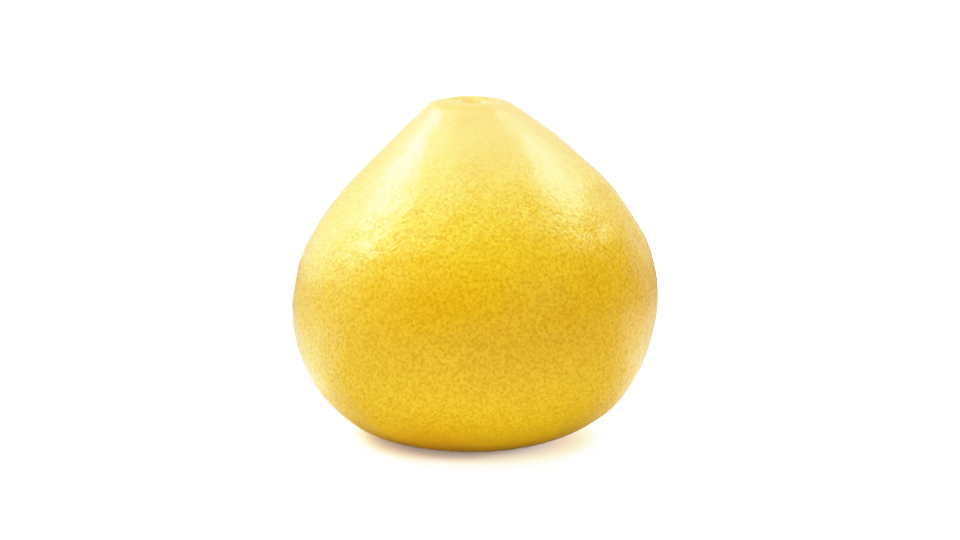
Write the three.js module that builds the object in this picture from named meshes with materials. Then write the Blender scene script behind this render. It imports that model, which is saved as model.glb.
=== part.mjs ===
// A whole pear-shaped pomelo, standing on the flat spot at its blossom end.
// Millimetres, +Z up, front of the fruit towards -Y.
import * as THREE from "three";

// ---- Driving dimensions ----

const HEIGHT = 139; // flat spot to the crest of the rim round the stem hollow
const BELT_RADIUS = 75; // widest place
const BELT_HEIGHT = 56;
const DEPTH_SHARE = 0.98; // front to back, as a share of side to side

const REST_RADIUS = 19; // flat spot that carries the fruit
const BLOSSOM_PIT_RADIUS = 4.5; // small dimple in the middle of the flat spot
const BLOSSOM_PIT_DEPTH = 0.8;

const RIM_RADIUS = 9.5; // crest of the rim round the stem hollow
const RIM_ROUNDING = 13.5; // how softly the neck turns over to the crest
const NECK_SLOPE = 38.5; // degrees between the neck and the level, at the rim
const HOLLOW_DEPTH = 3.8;
const SCAR_RADIUS = 4; // woody disc left by the stalk
const SCAR_RISE = 0.5;
const STUB_RADIUS = 1.6; // end of the cut stalk in the middle of the disc
const STUB_RISE = 0.5;

// How far each stretch of the side bulges: lengths of the curve handles.
const FOOT_HANDLE = 45.5;
const LOWER_BELT_HANDLE = 20.5;
const UPPER_BELT_HANDLE = 20.5;
const NECK_HANDLE = 60;

// The fruit grew a little crooked.
const BODY_LEAN = 0.042; // sideways shift for each mm above the belt
const NECK_START = 98; // height where the neck starts to bend the other way
const NECK_BEND = 6.1; // how far it has bent at the rim
const BACK_LEAN = 0.012;

// Low, wide swellings round the body and soft furrows that run into the hollow.
const BELT_LOBES = { count: 3, height: 0.5, turn: 0.6 };
const NECK_LOBES = { count: 5, height: 0.45, turn: 0.35, reach: 26 };
const SCAR_LOBES = { count: 5, height: 0.45, turn: 0.9 };

const SEGMENTS = 84; // facets round the fruit

// ---- Side profile, from the axis underneath to the axis on top ----

const at = (radius, height) => new THREE.Vector2(radius, height);

const lowerSide = () => [
  new THREE.QuadraticBezierCurve(
    at(0, BLOSSOM_PIT_DEPTH),
    at(0.6 * BLOSSOM_PIT_RADIUS, BLOSSOM_PIT_DEPTH),
    at(BLOSSOM_PIT_RADIUS, 0),
  ).getPoints(3),
  [at(REST_RADIUS, 0)],
  new THREE.CubicBezierCurve(
    at(REST_RADIUS, 0),
    at(REST_RADIUS + FOOT_HANDLE, 0),
    at(BELT_RADIUS, BELT_HEIGHT - LOWER_BELT_HANDLE),
    at(BELT_RADIUS, BELT_HEIGHT),
  ).getPoints(17),
];

function upperSide() {
  const slope = THREE.MathUtils.degToRad(NECK_SLOPE);
  const along = at(Math.cos(slope), -Math.sin(slope)).multiplyScalar(NECK_HANDLE);
  const turn = Math.PI / 2 - slope; // where the rounding of the rim starts
  const rimStart = at(
    RIM_RADIUS + RIM_ROUNDING * Math.cos(turn),
    HEIGHT - RIM_ROUNDING + RIM_ROUNDING * Math.sin(turn),
  );
  return [
    new THREE.CubicBezierCurve(
      at(BELT_RADIUS, BELT_HEIGHT),
      at(BELT_RADIUS, BELT_HEIGHT + UPPER_BELT_HANDLE),
      rimStart.clone().add(along),
      rimStart,
    ).getPoints(19),
    new THREE.EllipseCurve(
      RIM_RADIUS, HEIGHT - RIM_ROUNDING, RIM_ROUNDING, RIM_ROUNDING, turn, Math.PI / 2,
    ).getPoints(5),
  ];
}

function stemHollow() {
  const floor = HEIGHT - HOLLOW_DEPTH;
  const scarTop = floor + SCAR_RISE;
  const foot = at(SCAR_RADIUS + 0.3, floor);
  const width = RIM_RADIUS - foot.x;
  return [
    new THREE.CubicBezierCurve(
      at(RIM_RADIUS, HEIGHT),
      at(RIM_RADIUS - 0.5 * width, HEIGHT),
      at(foot.x + 0.35 * width, floor),
      foot,
    ).getPoints(7),
    [
      at(SCAR_RADIUS, floor + 0.7 * SCAR_RISE),
      at(0.86 * SCAR_RADIUS, scarTop),
      at(STUB_RADIUS + 0.3, scarTop - 0.2),
      at(STUB_RADIUS, scarTop + 0.7 * STUB_RISE),
      at(0.8 * STUB_RADIUS, scarTop + STUB_RISE),
      at(0, scarTop + 0.85 * STUB_RISE),
    ],
  ];
}

function profile() {
  const points = [...lowerSide(), ...upperSide(), ...stemHollow()].flat();
  return points.filter((p, i) => i === 0 || p.distanceTo(points[i - 1]) > 0.01);
}

// ---- From a round, upright turning to a grown fruit ----

const lobe = ({ count, height, turn }, angle) => height * Math.cos(count * (angle - turn));

// How much the skin stands out at this place, past the round profile.
function swelling(radius, angle, height) {
  const belt = Math.sin((Math.PI * height) / HEIGHT) ** 2;
  const neck = Math.exp(-(((HEIGHT - height) / NECK_LOBES.reach) ** 2));
  const onNeck = THREE.MathUtils.smoothstep(radius, SCAR_RADIUS + 1, RIM_RADIUS);
  const onScar = height > BELT_HEIGHT && radius > STUB_RADIUS + 1 && radius < SCAR_RADIUS + 0.4;
  return (
    belt * lobe(BELT_LOBES, angle) +
    neck * onNeck * lobe(NECK_LOBES, angle) +
    (onScar ? lobe(SCAR_LOBES, angle) : 0)
  );
}

function axisOffset(height) {
  const bend = Math.max(0, (height - NECK_START) / (HEIGHT - NECK_START));
  return {
    x: BODY_LEAN * (height - BELT_HEIGHT) - NECK_BEND * bend ** 2,
    y: BACK_LEAN * (height - BELT_HEIGHT),
  };
}

function grow(geometry) {
  const place = geometry.getAttribute("position");
  for (let i = 0; i < place.count; i++) {
    const height = place.getY(i);
    const round = Math.hypot(place.getX(i), place.getZ(i));
    const angle = Math.atan2(-place.getZ(i), place.getX(i));
    const radius = round < 1e-6 ? 0 : round + swelling(round, angle, height);
    const axis = axisOffset(height);
    place.setXYZ(
      i,
      axis.x + radius * Math.cos(angle),
      axis.y + DEPTH_SHARE * radius * Math.sin(angle),
      height,
    );
  }
}

function fruit() {
  const geometry = new THREE.LatheGeometry(profile(), SEGMENTS);
  grow(geometry);
  geometry.computeBoundingBox();
  const middle = geometry.boundingBox.getCenter(new THREE.Vector3());
  geometry.translate(-middle.x, -middle.y, 0);
  geometry.computeVertexNormals();
  const rind = new THREE.MeshStandardMaterial({ color: 0xf0c232, roughness: 0.42, metalness: 0 });
  const mesh = new THREE.Mesh(geometry, rind);
  mesh.name = "fruit";
  return mesh;
}

const pomelo = new THREE.Group();
pomelo.name = "pomelo";
pomelo.add(fruit());

export default pomelo;
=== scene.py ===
import math

import bpy
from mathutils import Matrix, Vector


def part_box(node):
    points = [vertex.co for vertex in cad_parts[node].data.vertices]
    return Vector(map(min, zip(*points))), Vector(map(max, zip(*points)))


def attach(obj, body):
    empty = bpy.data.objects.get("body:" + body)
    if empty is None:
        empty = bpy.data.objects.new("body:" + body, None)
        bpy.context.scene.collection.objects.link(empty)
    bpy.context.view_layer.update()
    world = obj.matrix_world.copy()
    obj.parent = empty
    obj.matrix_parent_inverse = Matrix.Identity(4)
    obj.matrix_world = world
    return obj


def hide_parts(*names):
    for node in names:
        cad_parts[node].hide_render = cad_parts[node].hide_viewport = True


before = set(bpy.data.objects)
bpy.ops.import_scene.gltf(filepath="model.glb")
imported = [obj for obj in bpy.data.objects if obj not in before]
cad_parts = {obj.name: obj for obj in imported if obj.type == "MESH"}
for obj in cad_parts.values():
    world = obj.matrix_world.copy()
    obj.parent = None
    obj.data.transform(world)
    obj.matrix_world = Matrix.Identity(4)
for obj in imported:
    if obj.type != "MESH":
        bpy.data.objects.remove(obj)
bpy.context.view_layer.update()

# ---- Sizes, in metres: the fruit's height, width and depth come from the imported fruit, the rest are given ----

MM = 0.001
LOW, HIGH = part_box("fruit")
HEIGHT = HIGH.z
BELT_RADIUS = (HIGH.x - LOW.x) / 2
BELT_HEIGHT = 0.403 * HEIGHT  # the widest level
DEPTH_SHARE = (HIGH.y - LOW.y) / (HIGH.x - LOW.x)

REST_RADIUS = 19 * MM  # flat spot that carries the fruit
BLOSSOM_PIT_RADIUS = 4.5 * MM
BLOSSOM_PIT_DEPTH = 0.8 * MM

RIM_RADIUS = 9.5 * MM  # crest of the rim round the stem hollow
RIM_ROUNDING = 13.5 * MM
NECK_SLOPE = math.radians(38.5)  # between the neck and the level, at the rim
HOLLOW_DEPTH = 3.8 * MM
HOLLOW_FLOOR = HEIGHT - HOLLOW_DEPTH
SCAR_RADIUS = 4 * MM  # woody disc left by the stalk
SCAR_RISE = 0.5 * MM
SCAR_GAP = 0.3 * MM  # hollow floor showing round the scar
STUB_RADIUS = 1.6 * MM
STUB_RISE = 0.5 * MM

# How hard the side's curves pull away from the flat spot, the belt and the shoulder.
FOOT_HANDLE = 45.5 * MM
BELT_HANDLE = 20.5 * MM
NECK_HANDLE = 60 * MM

BODY_LEAN = 0.042  # sideways shift for each metre above the belt
NECK_START = 98 * MM
NECK_BEND = 6.1 * MM
BACK_LEAN = 0.012
# The box is centred on the belt, which sits this far off the axis.
AXIS_MIDDLE = Vector((-0.1 * MM, -0.434 * MM))

SIDES = 96  # facets round the fruit, before it is smoothed
FOOT_RINGS, NECK_RINGS, RIM_RINGS, HOLLOW_RINGS = 15, 20, 4, 6
ROUNDING_LEVELS = 2

# Rings of the small parts: share of the part's radius, share of its depth or rise.
BLOSSOM_RINGS = ((0.4, 0.95), (0.75, 0.4), (1, 0), (1.4, 0))
SCAR_RINGS = ((1, 0.6), (0.86, 1))
STUB_RINGS = ((1.5, -0.2), (1.15, -0.4), (1, 0.6), (0.8, 1), (0.3, 0.85))

# Soft swellings: how many, how far they stand out, and which way they face.
BELT_LOBES = (3, 0.5 * MM, 0.6)
NECK_LOBES = (5, 0.45 * MM, 0.35)
SCAR_LOBES = (5, 0.45 * MM, 0.9)
NECK_LOBE_REACH = 26 * MM
NECK_LOBE_EDGE = SCAR_RADIUS + 1 * MM
SCAR_LOBE_BAND = (STUB_RADIUS + 1 * MM, SCAR_RADIUS + 0.4 * MM)

# Natural unevenness of the skin: grain and rise. It grows from nothing to full across
# the edges, in height over the flat spot and in distance from the scar.
UNEVENNESS = {
    "slow_swells": (38 * MM, 1.6 * MM),
    "small_dents": (13 * MM, 0.7 * MM),
    "rind_peel": (4.5 * MM, 0.3 * MM),
}
REST_EDGE = (1 * MM, 14 * MM)
SCAR_EDGE = (SCAR_RADIUS + 0.5 * MM, RIM_RADIUS)


# ---- Side profile ----


def bow(start, leave, arrive, end, steps):
    """Points along a Bezier curve, the first one left out."""
    for step in range(1, steps + 1):
        t = step / steps
        s = 1 - t
        yield s**3 * start + 3 * s * s * t * leave + 3 * s * t * t * arrive + t**3 * end


def side_profile():
    """(radius, height) of each ring, from the dimple underneath to the stub of the stalk."""
    belt = Vector((BELT_RADIUS, BELT_HEIGHT))
    up = Vector((0, BELT_HANDLE))
    rest = Vector((REST_RADIUS, 0))
    for out, deep in BLOSSOM_RINGS:
        yield Vector((out * BLOSSOM_PIT_RADIUS, deep * BLOSSOM_PIT_DEPTH))
    yield Vector((0.6 * REST_RADIUS, 0))
    yield rest
    yield from bow(rest, rest + Vector((FOOT_HANDLE, 0)), belt - up, belt, FOOT_RINGS)
    lift = math.pi / 2 - NECK_SLOPE
    rim_centre = Vector((RIM_RADIUS, HEIGHT - RIM_ROUNDING))
    shoulder = rim_centre + RIM_ROUNDING * Vector((math.cos(lift), math.sin(lift)))
    outward = NECK_HANDLE * Vector((math.cos(NECK_SLOPE), -math.sin(NECK_SLOPE)))
    yield from bow(belt, belt + up, shoulder + outward, shoulder, NECK_RINGS)
    for step in range(1, RIM_RINGS + 1):
        turn = lift + (math.pi / 2 - lift) * step / RIM_RINGS
        yield rim_centre + RIM_ROUNDING * Vector((math.cos(turn), math.sin(turn)))
    yield from stem_hollow()


def stem_hollow():
    crest = Vector((RIM_RADIUS, HEIGHT))
    foot = Vector((SCAR_RADIUS + SCAR_GAP, HOLLOW_FLOOR))
    width = Vector((RIM_RADIUS - foot.x, 0))
    yield from bow(crest, crest - 0.5 * width, foot + 0.35 * width, foot, HOLLOW_RINGS)
    for out, up in SCAR_RINGS:
        yield Vector((out * SCAR_RADIUS, HOLLOW_FLOOR + up * SCAR_RISE))
    for out, up in STUB_RINGS:
        yield Vector((out * STUB_RADIUS, HOLLOW_FLOOR + SCAR_RISE + up * STUB_RISE))


def axis_at(height):
    """The middle of the leaning fruit at a height."""
    bend = max(0, (height - NECK_START) / (HEIGHT - NECK_START))
    return Vector(
        (
            BODY_LEAN * (height - BELT_HEIGHT) - NECK_BEND * bend**2 - AXIS_MIDDLE.x,
            BACK_LEAN * (height - BELT_HEIGHT) - AXIS_MIDDLE.y,
            height,
        )
    )


# ---- Modelling ----


def deselect_everything():
    for thing in bpy.context.selected_objects:
        thing.select_set(False)
    bpy.context.view_layer.objects.active = None


def select_only(skin):
    deselect_everything()
    skin.select_set(True)
    bpy.context.view_layer.objects.active = skin


def loft_rings(name, rings):
    """A closed skin through level rings of (radius, height), each centred on the leaning axis."""
    deselect_everything()
    radius, height = rings[0]
    centre = axis_at(height)
    bpy.ops.mesh.primitive_circle_add(
        vertices=SIDES, radius=radius, fill_type="TRIFAN", location=centre
    )
    skin = bpy.context.object
    skin.name = name
    bpy.ops.object.mode_set(mode="EDIT")
    bpy.ops.transform.resize(value=(1, DEPTH_SHARE, 1), center_override=centre)
    bpy.ops.mesh.region_to_loop()
    for next_radius, next_height in rings[1:]:
        next_centre = axis_at(next_height)
        bpy.ops.mesh.extrude_edges_move(TRANSFORM_OT_translate={"value": next_centre - centre})
        grow = next_radius / radius
        bpy.ops.transform.resize(value=(grow, grow, 1), center_override=next_centre)
        radius, centre = next_radius, next_centre
    bpy.ops.mesh.edge_face_add()
    bpy.ops.mesh.poke()
    bpy.ops.mesh.select_all(action="SELECT")
    bpy.ops.mesh.normals_make_consistent(inside=False)
    bpy.ops.object.mode_set(mode="OBJECT")
    bpy.ops.object.transform_apply(location=True, rotation=True, scale=True)
    return skin


def lobe(shape, angle):
    count, rise, turn = shape
    return rise * math.cos(count * (angle - turn))


def smooth_step(value, start, end):
    t = min(1, max(0, (value - start) / (end - start)))
    return t * t * (3 - 2 * t)


def swelling(radius, angle, height):
    """How far the skin stands out here, past the round profile."""
    belt = math.sin(math.pi * height / HEIGHT) ** 2
    neck = math.exp(-(((HEIGHT - height) / NECK_LOBE_REACH) ** 2))
    on_neck = smooth_step(radius, NECK_LOBE_EDGE, RIM_RADIUS)
    on_scar = height > BELT_HEIGHT and SCAR_LOBE_BAND[0] < radius < SCAR_LOBE_BAND[1]
    return (
        belt * lobe(BELT_LOBES, angle)
        + neck * on_neck * lobe(NECK_LOBES, angle)
        + (lobe(SCAR_LOBES, angle) if on_scar else 0)
    )


def raise_lobes(skin):
    for vertex in skin.data.vertices:
        height = vertex.co.z
        axis = axis_at(height)
        out = Vector((vertex.co.x - axis.x, (vertex.co.y - axis.y) / DEPTH_SHARE))
        radius = out.length
        if radius > 0.1 * MM:
            out *= 1 + swelling(radius, math.atan2(out.y, out.x), height) / radius
            vertex.co = axis + Vector((out.x, DEPTH_SHARE * out.y, 0))


def apply(skin, modifier):
    select_only(skin)
    bpy.ops.object.modifier_apply(modifier=modifier.name)


def smooth(skin, levels):
    rounding = skin.modifiers.new("rounding", "SUBSURF")
    rounding.levels = rounding.render_levels = levels
    apply(skin, rounding)


def mark_free_skin(skin):
    """A vertex group that is full on the open skin and empty on the flat spot and the scar."""
    group = skin.vertex_groups.new(name="free_skin")
    for vertex in skin.data.vertices:
        free = smooth_step(vertex.co.z, *REST_EDGE)
        if vertex.co.z > BELT_HEIGHT:
            radius = (vertex.co - axis_at(vertex.co.z)).length
            free *= smooth_step(radius, *SCAR_EDGE)
        group.add([vertex.index], free, "REPLACE")


def roughen(skin, name, grain, rise):
    """Natural unevenness: cloudy hills and dents, one grain across."""
    clouds = bpy.data.textures.new(name, "CLOUDS")
    clouds.noise_scale = grain
    clouds.noise_depth = 1
    hills = skin.modifiers.new(name, "DISPLACE")
    hills.texture = clouds
    hills.strength = rise
    hills.mid_level = 0.5
    hills.vertex_group = "free_skin"
    apply(skin, hills)


def model_fruit():
    skin = loft_rings("pomelo_skin", list(side_profile()))
    raise_lobes(skin)
    smooth(skin, ROUNDING_LEVELS)
    mark_free_skin(skin)
    for name, (grain, rise) in UNEVENNESS.items():
        roughen(skin, name, grain, rise)
    select_only(skin)
    bpy.ops.object.shade_smooth()
    return skin


# ---- Finishes ----


class Wire:
    """One output of a shader node. Sums and products of wires and numbers add Math nodes."""

    def __init__(self, finish, socket):
        self.finish = finish
        self.socket = socket

    def math(self, operation, first, second):
        return self.finish.node("ShaderNodeMath", {"operation": operation}, {0: first, 1: second})

    def __add__(self, other):
        return self.math("ADD", self, other)

    def __sub__(self, other):
        return self.math("SUBTRACT", self, other)

    def __mul__(self, other):
        return self.math("MULTIPLY", self, other)

    def __truediv__(self, other):
        return self.math("DIVIDE", self, other)

    def __rsub__(self, other):
        return self.math("SUBTRACT", other, self)

    def or_more(self, other):
        return self.math("MAXIMUM", self, other)

    __radd__ = __add__
    __rmul__ = __mul__


class Finish:
    """The nodes of a material or a world, made one by one."""

    def __init__(self, holder):
        holder.use_nodes = True
        self.tree = holder.node_tree
        self.tree.nodes.clear()

    def node(self, kind, settings=None, sockets=None, output=0):
        """Adds a node, makes its settings, then fills its sockets with values or wires."""
        made = self.tree.nodes.new(kind)
        for setting, value in (settings or {}).items():
            if setting == "stops":
                self.set_stops(made.color_ramp, value)
            else:
                setattr(made, setting, value)
        for socket, value in (sockets or {}).items():
            if isinstance(value, Wire):
                self.tree.links.new(value.socket, made.inputs[socket])
            else:
                made.inputs[socket].default_value = value
        return Wire(self, made.outputs[output]) if made.outputs else None

    def set_stops(self, ramp, stops):
        """A ramp starts with two stops; the rest are added between them."""
        ramp.interpolation = "B_SPLINE"
        elements = ramp.elements
        for where, _ in stops[1:-1]:
            elements.new(where)
        for element, (where, colour) in zip(elements, stops):
            element.position, element.color = where, colour

    def place(self):
        return self.node("ShaderNodeTexCoord", output="Object")

    def part(self, vector, axis):
        """One number of a place or direction: 0 across, 1 back, 2 up."""
        return self.node("ShaderNodeSeparateXYZ", None, {0: vector}, axis)

    def ray(self, kind):
        """1 for this kind of light ray and 0 for others, such as Is Camera Ray."""
        return self.node("ShaderNodeLightPath", output=kind)

    def ramp(self, value, stops):
        return self.node("ShaderNodeValToRGB", {"stops": stops}, {0: value})

    def step(self, value, start, end):
        """0 below start, 1 above end, and smooth between. Start may be above end."""
        return self.node(
            "ShaderNodeMapRange",
            {"interpolation_type": "SMOOTHSTEP"},
            {"Value": value, "From Min": start, "From Max": end},
        )

    def clouds(self, place, grain, detail=2.0, roughness=0.5):
        return self.node(
            "ShaderNodeTexNoise",
            {"normalize": True},
            {"Vector": place, "Scale": 1 / grain, "Detail": detail, "Roughness": roughness},
        )

    def dots(self, place, pitch):
        """Scattered round dots, full in their middles."""
        distance = self.node("ShaderNodeTexVoronoi", None, {"Vector": place, "Scale": 1 / pitch})
        return self.step(distance, *DOT_EDGE)

    def mix(self, share, first, second, blend="MIX"):
        return self.node(
            "ShaderNodeMix",
            {"data_type": "RGBA", "blend_type": blend},
            {0: share, 6: first, 7: second},
            2,
        )

    def blend(self, share, first, second):
        """One shader fading into another."""
        return self.node("ShaderNodeMixShader", None, {0: share, 1: first, 2: second})

    def distance_from(self, place, centre):
        """Distance from an upright line through centre."""
        flat = self.node(
            "ShaderNodeVectorMath", {"operation": "MULTIPLY"}, {0: place, 1: (1, 1, 0)}
        )
        return self.node(
            "ShaderNodeVectorMath",
            {"operation": "DISTANCE"},
            {0: flat, 1: (centre.x, centre.y, 0)},
            1,
        )


def linear(red, green, blue):
    """A colour on a 0 to 255 scale, as the shader wants it."""
    parts = [part / 255 for part in (red, green, blue)]
    parts = [p / 12.92 if p <= 0.04045 else ((p + 0.055) / 1.055) ** 2.4 for p in parts]
    return (*parts, 1.0)


# The rind from the foot to the neck: height as a share of the whole, and colour. The darker foot
# and the darker band at the belt are painted shade; the paler, bluer neck is partly the rind's
# own and partly painted highlight.
RIND_COLOURS_AND_PAINTED_LIGHT = [
    (0.0, linear(238, 166, 0)),
    (0.12, linear(255, 214, 0)),
    (0.28, linear(254, 215, 30)),
    (0.47, linear(243, 192, 4)),
    (0.6, linear(254, 211, 12)),
    (0.72, linear(255, 222, 36)),
    (0.84, linear(253, 214, 94)),
    (0.96, linear(253, 207, 108)),
]
# Painted light: a paler colour for the left flank, as if the left lamps lit it more.
LEFT_PAINTED_LIGHT = linear(255, 222, 56)
# Deeper gold round the stem hollow: painted shade, where the top catches less light.
CROWN_PAINTED_SHADE = linear(253, 203, 88)
DEEP_TINT = (0.74, 0.61, 0.05, 1)
LEAF_TINT = linear(242, 216, 78)
DRY_BARK = linear(106, 80, 42)
PALE_WOOD = linear(196, 170, 116)
CORK = linear(172, 130, 66)

RIPENING_GRAIN = 60 * MM
RIPENING_SHIFT = 0.25  # how far ripening moves the colours up or down, as a share of the height
# Where the painted light on the left flank lies: across the fruit, then up to below the shoulder,
# and how strong it is.
LEFT_PAINTED_LIGHT_EDGE = (-0.3 * BELT_RADIUS, -0.85 * BELT_RADIUS)
LEFT_PAINTED_LIGHT_TOP = (0.74, 0.56)
LEFT_PAINTED_LIGHT_SHARE = 0.6
NECKWARD = (0.6, 1.0)
LEAF_TINT_EDGE = (0.6, 0.85)
LEAF_TINT_SHARE = 0.25

GLAND_PITCH = 1.75 * MM
PORE_PITCH = 1.15 * MM
# Pitch of the pale flecks, which are painted glints on the skin.
GLINT_FLECK_PITCH = 1.5 * MM
DOT_EDGE = (0.55, 0.1)  # outside and inside of a dot, as shares of the pitch
GRAIN_SIZE = 1.4 * MM
GRAIN_EDGE = (0.3, 0.7)
# How much each pattern deepens the pits. Pale flecks, which are painted glints, lift them.
GLAND_DEPTH, PORE_DEPTH, GRAIN_DEPTH, GLINT_FLECK_LIFT = 0.45, 0.25, 0.5, 0.5
PIT_EDGE = (-0.3, 0.95)
PIT_SHARE = 0.85
RIDGE_EDGE = (0.7, 0.1)
NECK_FADE = (0.72 * HEIGHT, 0.95 * HEIGHT)  # glands grow faint towards the stem
FOOT_FADE = (24 * MM, 6 * MM)  # and towards the flat spot
FADE_SHARE = 0.75

# Reach and strength of the painted shade round the stem hollow.
CROWN_SHADE_REACH = (17 * MM, 8 * MM)
CROWN_SHADE_SHARE = 0.7
RAGGED_GRAIN = 2.5 * MM
RAGGED_EDGE = 1.2 * MM
CRUMB_SIZE = 0.8 * MM
CRUMB_EDGE = (0.35, 0.65)
STEM_END = (HEIGHT - 9 * MM, HEIGHT - 7 * MM)
BLOSSOM_END = (6 * MM, 3 * MM)
BARK_EDGE = (SCAR_RADIUS + 0.5 * MM, SCAR_RADIUS - 0.2 * MM)
WOOD_EDGE = (STUB_RADIUS, 0.85 * STUB_RADIUS)
CORK_EDGE = (BLOSSOM_PIT_RADIUS, 0.45 * BLOSSOM_PIT_RADIUS)
HEART_EDGE = (0.6 * BLOSSOM_PIT_RADIUS, 0)

# Relief in millimetres.
FINE_BUMPS = 0.1
FINE_BUMP_GRAIN = 2.5 * MM
PIT_DEPTH = 0.14
CRUMB_RISE = 0.5


def rind_finish():
    material = bpy.data.materials.new("rind")
    f = Finish(material)
    place = f.place()
    height = f.part(place, 2)

    # Colour: golden belly with painted shade at the foot and the belt, paler shoulder and neck
    # that are partly painted highlight, painted light on the left flank, slow uneven ripening.
    ripening = f.clouds(place, RIPENING_GRAIN)
    level = height / HEIGHT + (ripening - 0.5) * RIPENING_SHIFT
    colour = f.ramp(level, RIND_COLOURS_AND_PAINTED_LIGHT)
    # Painted light: the left flank below the shoulder is made paler.
    left_painted_light = f.step(f.part(place, 0), *LEFT_PAINTED_LIGHT_EDGE) * f.step(level, *LEFT_PAINTED_LIGHT_TOP)
    colour = f.mix(left_painted_light * LEFT_PAINTED_LIGHT_SHARE, colour, LEFT_PAINTED_LIGHT)
    neckward = f.step(level, *NECKWARD)
    leafy = f.step(ripening, *LEAF_TINT_EDGE) * neckward
    colour = f.mix(leafy * LEAF_TINT_SHARE, colour, LEAF_TINT)

    # Oil glands: small crowded pits of two sizes, pale ridges between with painted glints as pale
    # flecks, fading at the ends.
    gland = f.dots(place, GLAND_PITCH)
    pore = f.dots(place, PORE_PITCH)
    # Pale flecks: painted glints, specks made lighter where the pebbled skin would catch
    # highlights.
    glint_fleck = f.dots(place, GLINT_FLECK_PITCH)
    grain = f.step(f.clouds(place, GRAIN_SIZE), *GRAIN_EDGE)
    deep = gland * GLAND_DEPTH + pore * PORE_DEPTH + grain * GRAIN_DEPTH - glint_fleck * GLINT_FLECK_LIFT
    pit = f.step(deep, *PIT_EDGE) * PIT_SHARE
    faint = f.step(height, *NECK_FADE) + f.step(height, *FOOT_FADE)
    shown = pit * (1 - faint * FADE_SHARE)
    ridge = f.step(shown, *RIDGE_EDGE)
    colour = f.mix(shown, colour, DEEP_TINT, "MULTIPLY")

    # Scars where the stalk and the blossom were, and painted shade round the stem hollow.
    from_stalk = f.distance_from(place, axis_at(HOLLOW_FLOOR))
    from_blossom = f.distance_from(place, axis_at(0))
    high_up = f.step(height, *STEM_END)
    low_down = f.step(height, *BLOSSOM_END)
    ragged = (f.clouds(place, RAGGED_GRAIN, 3) - 0.5) * RAGGED_EDGE
    crumbs = f.step(f.clouds(place, CRUMB_SIZE, 4, 0.7), *CRUMB_EDGE)
    # Painted shade: a deeper gold ring round the stem hollow.
    crown_shade = f.step(from_stalk, *CROWN_SHADE_REACH) * neckward
    bark = f.step(from_stalk + ragged, *BARK_EDGE) * high_up
    wood = f.step(from_stalk, *WOOD_EDGE) * high_up
    cork = f.step(from_blossom + ragged * 2, *CORK_EDGE) * low_down
    heart = f.step(from_blossom + ragged, *HEART_EDGE)
    colour = f.mix(crown_shade * CROWN_SHADE_SHARE, colour, CROWN_PAINTED_SHADE)
    colour = f.mix(bark, colour, f.mix(crumbs, DRY_BARK, CORK))
    colour = f.mix(wood, colour, PALE_WOOD)
    corky = f.mix(heart, f.mix(crumbs, CORK, DRY_BARK), DRY_BARK)
    colour = f.mix(cork, colour, corky)
    dry = bark.or_more(cork)

    bumps = f.clouds(place, FINE_BUMP_GRAIN) * FINE_BUMPS
    relief = bumps - shown * (1 - dry) * PIT_DEPTH + crumbs * dry * CRUMB_RISE
    normal = f.node("ShaderNodeBump", None, {"Height": relief, "Distance": MM, "Strength": 1.0})

    shader = f.node(
        "ShaderNodeBsdfPrincipled",
        {"subsurface_method": "RANDOM_WALK"},
        {
            "Base Color": colour,
            "Roughness": 0.33 - pit * 0.06 + neckward * 0.12 + dry * 0.35,
            "IOR": 1.46,
            "Specular IOR Level": 0.36,
            "Subsurface Weight": 0.12,
            "Subsurface Radius": (1.0, 0.55, 0.12),
            "Subsurface Scale": 2.5 * MM,
            "Coat Weight": 0.05 + ridge * 0.4,
            "Coat Roughness": 0.32,
            "Coat IOR": 1.5,
            "Normal": normal,
        },
    )
    f.node("ShaderNodeOutputMaterial", None, {"Surface": shader})
    return material


# ---- The room: floor, light and camera ----

CAMERA_RISE = 13  # degrees above the level
CAMERA_DISTANCE = 1.089
CAMERA_LENS = 100  # millimetres
SENSOR_WIDTH = 36
NEAREST_SEEN = 0.01
AIM = Vector((1.9 * MM, 0, 68.7 * MM))

FILM_KNEE = 0.8  # up to here the film keeps the light's brightness, with paper white as 1
FILM_WHITE = 2.0  # light that the film shows as its full white
FILM_STEPS = (0.8, 0.86, 0.93, 1.0, 1.1, 1.2, 1.35, 1.55, 1.8)

FLOOR_RADIUS = 0.8
PAPER_SEEN = (2.8, 3.5, 4.8)  # how bright the floor paper is to the camera
PAPER_LIT = 0.98  # and to the fruit that it lights
# How bright the paper mirrors in the rind, a painted reflection: in front of the fruit, then
# going back.
MIRRORED_FRONT, MIRRORED_FOOT, MIRRORED_BACK, MIRRORED_FAR = 0.15, 1.9, 1.0, 0.35
FOOT_EDGE = (-0.04, 0.02)
BACK_EDGE = (0.02, 0.1)
FAR_EDGE = (0.16, 0.34)

BACKDROP_EDGE = (0.35, 0.8)  # the backdrop brightens from the sides to straight behind
BACKDROP_BRIGHTNESS = 1.1


def white_paper():
    """Paper that looks bright to the camera and lights the fruit; what it mirrors in the rind is
    painted reflection, dark in front, bright round the foot and dimmer going back.
    """
    material = bpy.data.materials.new("white_paper")
    f = Finish(material)

    def paper(red, green, blue):
        return f.node("ShaderNodeBsdfDiffuse", None, {"Color": (red, green, blue, 1)})

    def grey(brightness):
        return paper(brightness, brightness, brightness)

    behind = f.part(f.place(), 1)
    mirrored = f.blend(f.step(behind, *BACK_EDGE), grey(MIRRORED_FOOT), grey(MIRRORED_BACK))
    mirrored = f.blend(f.step(behind, *FAR_EDGE), mirrored, grey(MIRRORED_FAR))
    mirrored = f.blend(f.step(behind, *FOOT_EDGE), grey(MIRRORED_FRONT), mirrored)
    lit = f.blend(f.ray("Is Glossy Ray"), grey(PAPER_LIT), mirrored)
    shader = f.blend(f.ray("Is Camera Ray"), lit, paper(*PAPER_SEEN))
    f.node("ShaderNodeOutputMaterial", None, {"Surface": shader})
    return material


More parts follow.
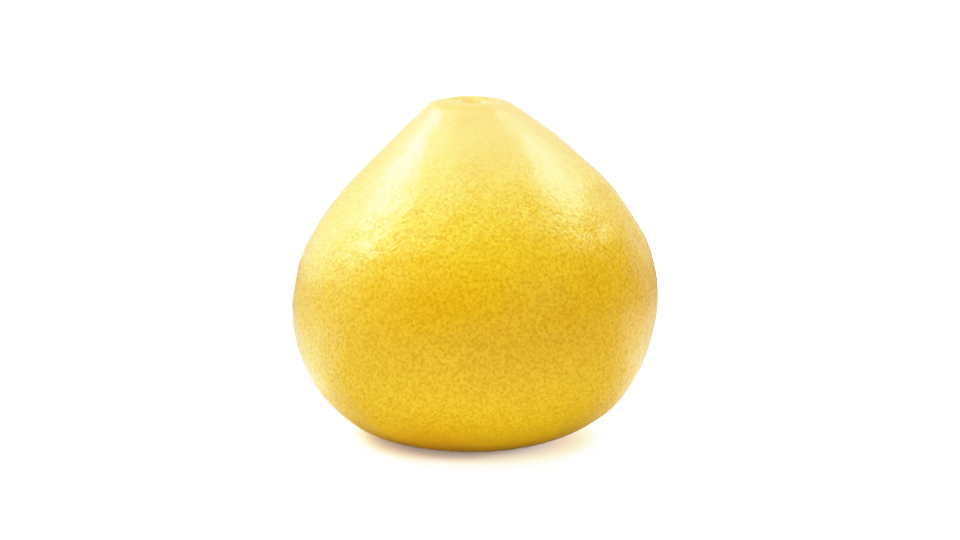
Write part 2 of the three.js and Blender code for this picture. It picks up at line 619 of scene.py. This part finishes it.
def lay_floor():
    deselect_everything()
    bpy.ops.mesh.primitive_circle_add(vertices=96, radius=FLOOR_RADIUS, fill_type="NGON")
    floor = bpy.context.object
    floor.name = "floor"
    floor.data.materials.append(white_paper())


def direction(azimuth, rise):
    """Unit vector towards a compass angle round the fruit, 0 towards the camera, and a rise."""
    a, r = math.radians(azimuth), math.radians(rise)
    return Vector((math.sin(a) * math.cos(r), -math.cos(a) * math.cos(r), math.sin(r)))


def aim_at_fruit(thing, toward, distance):
    thing.location = AIM + distance * toward
    thing.rotation_euler = toward.to_track_quat("Z", "Y").to_euler()
    bpy.context.scene.collection.objects.link(thing)


SOFTBOX_DISTANCE = 1.2
# Softboxes: azimuth and rise in degrees, width and height in metres, radiance with paper
# white as 1, and whether the panel lights the skin, shines in it as a highlight, or both.
SOFTBOXES = {
    "left_softbox": (-116, 31, 0.85, 0.5, 1.9, "shine"),
    "left_wide_softbox": (-105, 28, 1.5, 0.8, 1.5, "shine"),
    "left_low_softbox": (-118, 8, 1.3, 0.4, 1.2, "shine"),
    "left_high_fill": (-90, 46, 0.4, 0.3, 6.0, "light"),
    "front_fill": (5, 50, 1.1, 0.6, 0.6, "light"),
    "right_softbox": (130, 39, 0.65, 0.55, 1.35, "both"),
    "upper_left_softbox": (-90, 64, 0.8, 0.45, 5.0, "light"),
    "upper_left_sheen": (-92, 62, 1.0, 0.55, 2.8, "shine"),
    "upper_right_softbox": (100, 62, 0.9, 0.55, 1.85, "both"),
    "overhead_softbox": (180, 88, 0.7, 0.7, 2.9, "both"),
    "left_glint": (-113, 41, 0.55, 0.38, 12.5, "shine"),
    "right_glint": (114, 45, 0.6, 0.42, 8.4, "shine"),
    "low_fill": (10, 5, 1.0, 0.3, 2.7, "light"),
    "left_fill": (-60, 5, 0.9, 0.3, 2.4, "light"),
    "left_mid_fill": (-50, 35, 0.8, 0.5, 1.2, "light"),
    "right_mid_fill": (45, 20, 0.8, 0.4, 2.0, "light"),
    "right_fill": (100, 5, 0.9, 0.4, 2.0, "light"),
    "back_fill": (180, 35, 1.0, 0.6, 1.2, "light"),
}


def hang_softbox(name, azimuth, rise, width, tall, brightness, use):
    lamp = bpy.data.lights.new(name, "AREA")
    lamp.shape = "RECTANGLE"
    lamp.size, lamp.size_y = width, tall
    lamp.energy = brightness * math.pi * width * tall
    softbox = bpy.data.objects.new(name, lamp)
    softbox.visible_camera = False
    softbox.visible_glossy = use != "light"
    softbox.visible_diffuse = use != "shine"
    aim_at_fruit(softbox, direction(azimuth, rise), SOFTBOX_DISTANCE)


def light_room():
    for name, setting in SOFTBOXES.items():
        hang_softbox(name, *setting)


def hang_backdrop():
    """White to the camera, and a soft glow behind the fruit for its edges to mirror."""
    world = bpy.data.worlds.new("studio")
    bpy.context.scene.world = world
    f = Finish(world)
    world.cycles_visibility.diffuse = False
    toward = f.node("ShaderNodeTexCoord", output="Generated")
    glow = f.step(f.part(toward, 1), *BACKDROP_EDGE)
    strength = glow.or_more(f.ray("Is Camera Ray") * FILM_WHITE)
    colour = (BACKDROP_BRIGHTNESS, BACKDROP_BRIGHTNESS, BACKDROP_BRIGHTNESS, 1)
    shader = f.node("ShaderNodeBackground", None, {"Color": colour, "Strength": strength})
    f.node("ShaderNodeOutputWorld", None, {"Surface": shader})


def set_camera():
    lens = bpy.data.cameras.new("camera")
    lens.lens = CAMERA_LENS
    lens.sensor_width = SENSOR_WIDTH
    lens.clip_start = NEAREST_SEEN
    camera = bpy.data.objects.new("camera", lens)
    aim_at_fruit(camera, direction(0, CAMERA_RISE), CAMERA_DISTANCE)
    bpy.context.scene.camera = camera


def set_film():
    """Plain film: light is kept in proportion, and only the brightest part rolls off to white."""
    view = bpy.context.scene.view_settings
    view.view_transform = "Standard"
    view.use_curve_mapping = True
    mapping = view.curve_mapping
    mapping.white_level = (FILM_WHITE,) * 3
    mapping.extend = "HORIZONTAL"
    tone = mapping.curves[3]
    tone.points[0].handle_type = "VECTOR"
    headroom = 1 - FILM_KNEE
    for light in FILM_STEPS:
        kept = FILM_KNEE + headroom * (1 - math.exp((FILM_KNEE - light) / headroom))
        point = tone.points.new(light / FILM_WHITE, kept)
        point.handle_type = "VECTOR" if light == FILM_KNEE else "AUTO"
    mapping.update()


set_camera()
set_film()
fruit = model_fruit()
fruit.data.materials.clear()
fruit.data.materials.append(rind_finish())
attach(fruit, "root")
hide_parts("fruit")
lay_floor()
light_room()
hang_backdrop()
